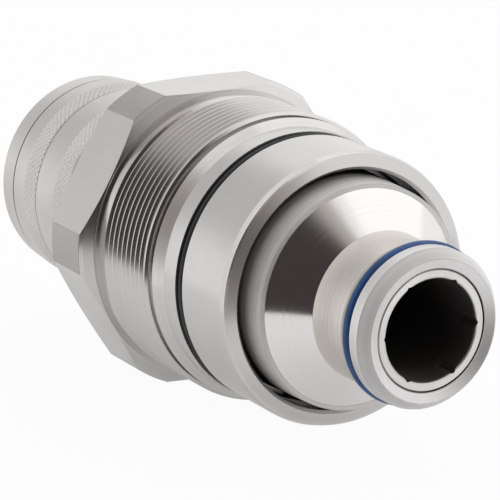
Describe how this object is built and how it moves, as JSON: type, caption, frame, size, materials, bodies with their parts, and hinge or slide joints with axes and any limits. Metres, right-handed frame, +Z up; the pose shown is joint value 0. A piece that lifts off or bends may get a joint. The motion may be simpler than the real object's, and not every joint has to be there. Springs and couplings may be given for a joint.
{
  "type": "flat face hydraulic coupler",
  "caption": "Cartridge hydraulic coupler: hexagon and block thread, pilot with seal ring, sprung knurled release sleeve, flat face valve in the mouth and a floating core with a sealed nose.",
  "frame": {"origin": "on the coupler's axis at the shoulder in front of the hexagon", "axes": "+X along the axis towards the nose, +Z up with the part lying on a hexagon flat"},
  "size_m": [0.1114, 0.0542, 0.05],
  "materials": {
    "plated_steel": "satin zinc plate",
    "polished_steel": "polished",
    "bush_steel": "matt plated",
    "spring_steel": "drawn wire",
    "ball_steel": "polished",
    "bronze": "turned",
    "black_rubber": "matt",
    "blue_seal": "satin",
    "cream_plastic": "waxy"
  },
  "bodies": {
    "housing": {"housing": "plated_steel", "pilot_o_ring": "black_rubber", "guide_bush": "bronze", "float_spring": "spring_steel", "spring_seat": "plated_steel", "retaining_ring": "spring_steel"},
    "core": {"socket_body": "plated_steel", "mouth_ring": "plated_steel", "tail_piece": "polished_steel", "tail_joint_seal": "black_rubber", "tail_seal": "blue_seal", "tail_backup_ring": "cream_plastic", "hex_bush": "bush_steel", "valve_stem": "polished_steel", "stem_seal": "black_rubber", "stem_spider": "polished_steel", "spider_ring": "plated_steel", "probe_seal": "black_rubber", "probe_backup_ring": "cream_plastic", "sleeve_seat_ring": "plated_steel", "sleeve_spring": "spring_steel", "shutoff_spring": "spring_steel"},
    "sleeve": {"release_sleeve": "plated_steel", "sleeve_collar": "plated_steel"},
    "shutoff": {"shutoff_sleeve": "polished_steel"},
    "ball_1": {"locking_ball_1": "ball_steel"},
    "ball_2": {"locking_ball_2": "ball_steel"},
    "ball_3": {"locking_ball_3": "ball_steel"},
    "ball_4": {"locking_ball_4": "ball_steel"},
    "ball_5": {"locking_ball_5": "ball_steel"},
    "ball_6": {"locking_ball_6": "ball_steel"},
    "ball_7": {"locking_ball_7": "ball_steel"},
    "ball_8": {"locking_ball_8": "ball_steel"}
  },
  "joints": [
    {"name": "core_float", "type": "slide", "parent": "housing", "child": "core", "axis": [1, 0, 0], "range_m": [0, 0.004], "stiffness_N_per_m": 10000, "springref_m": -0.006, "deforming": ["float_spring"]},
    {"name": "sleeve_slide", "type": "slide", "parent": "core", "child": "sleeve", "axis": [1, 0, 0], "range_m": [0, 0.005], "stiffness_N_per_m": 3000, "springref_m": -0.006, "deforming": ["sleeve_spring"]},
    {"name": "shutoff_slide", "type": "slide", "parent": "core", "child": "shutoff", "axis": [1, 0, 0], "range_m": [0, 0.008], "stiffness_N_per_m": 4000, "springref_m": -0.008, "deforming": ["shutoff_spring"]},
    {"name": "ball_1_lift", "type": "slide", "parent": "core", "child": "ball_1", "axis": [0, 1, 0], "range_m": [0, 0.0015]},
    {"name": "ball_2_lift", "type": "slide", "parent": "core", "child": "ball_2", "axis": [0, 0.7071, 0.7071], "range_m": [0, 0.0015]},
    {"name": "ball_3_lift", "type": "slide", "parent": "core", "child": "ball_3", "axis": [0, 0, 1], "range_m": [0, 0.0015]},
    {"name": "ball_4_lift", "type": "slide", "parent": "core", "child": "ball_4", "axis": [0, -0.7071, 0.7071], "range_m": [0, 0.0015]},
    {"name": "ball_5_lift", "type": "slide", "parent": "core", "child": "ball_5", "axis": [0, -1, 0], "range_m": [0, 0.0015]},
    {"name": "ball_6_lift", "type": "slide", "parent": "core", "child": "ball_6", "axis": [0, -0.7071, -0.7071], "range_m": [0, 0.0015]},
    {"name": "ball_7_lift", "type": "slide", "parent": "core", "child": "ball_7", "axis": [0, 0, -1], "range_m": [0, 0.0015]},
    {"name": "ball_8_lift", "type": "slide", "parent": "core", "child": "ball_8", "axis": [0, 0.7071, -0.7071], "range_m": [0, 0.0015]}
  ],
  "couplings": [
    {"joint": "ball_1_lift", "follows": "sleeve_slide", "ratio": 0.3},
    {"joint": "ball_2_lift", "follows": "sleeve_slide", "ratio": 0.3},
    {"joint": "ball_3_lift", "follows": "sleeve_slide", "ratio": 0.3},
    {"joint": "ball_4_lift", "follows": "sleeve_slide", "ratio": 0.3},
    {"joint": "ball_5_lift", "follows": "sleeve_slide", "ratio": 0.3},
    {"joint": "ball_6_lift", "follows": "sleeve_slide", "ratio": 0.3},
    {"joint": "ball_7_lift", "follows": "sleeve_slide", "ratio": 0.3},
    {"joint": "ball_8_lift", "follows": "sleeve_slide", "ratio": 0.3}
  ]
}
